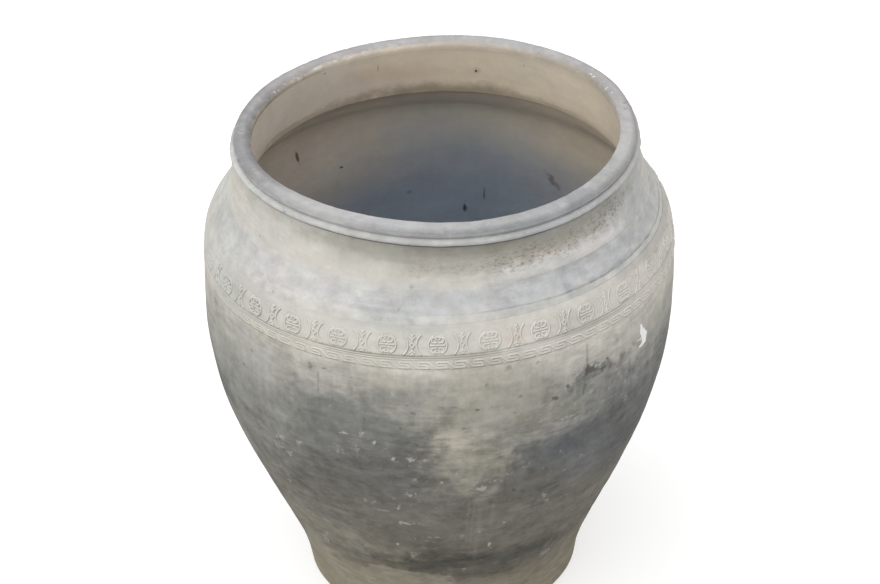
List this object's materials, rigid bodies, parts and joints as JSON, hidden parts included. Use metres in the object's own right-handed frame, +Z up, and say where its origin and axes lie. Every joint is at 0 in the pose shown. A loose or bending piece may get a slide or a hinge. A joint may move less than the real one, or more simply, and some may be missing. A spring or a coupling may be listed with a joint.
{
  "type": "terracotta vase",
  "caption": "Large unglazed clay jar with a wide mouth, beaded lip, flared neck, stamped shoulder strips and a belly that tapers to a narrow foot.",
  "frame": {"origin": "centre of the flat base, at the level that the jar stands on", "axes": "+Z up along the jar's axis, through the middle of the mouth; +X and +Y are level"},
  "size_m": [0.532, 0.532, 0.571],
  "materials": {
    "foot_clay": "unglazed, matt, dusty and warm grey",
    "dark_clay": "unglazed, matt, smoked dark grey with pale scuffs",
    "belly_clay": "unglazed, matt, mottled mid grey",
    "strip_clay": "unglazed, matt, pale stamped relief",
    "shoulder_clay": "unglazed, matt, cool blue grey",
    "neck_clay": "unglazed, matt, pale cream slip",
    "rim_clay": "unglazed, matt, grey with chipped pale edges"
  },
  "bodies": {
    "root": {"base_slab": "foot_clay", "foot_wall": "foot_clay", "lower_belly": "dark_clay", "middle_belly": "dark_clay", "upper_belly": "belly_clay", "fret_strip": "strip_clay", "cordon_strip": "strip_clay", "frieze_strip": "strip_clay", "shoulder_band": "shoulder_clay", "neck_collar": "neck_clay", "rim_bead": "rim_clay", "rim_lip": "rim_clay"}
  },
  "joints": []
}
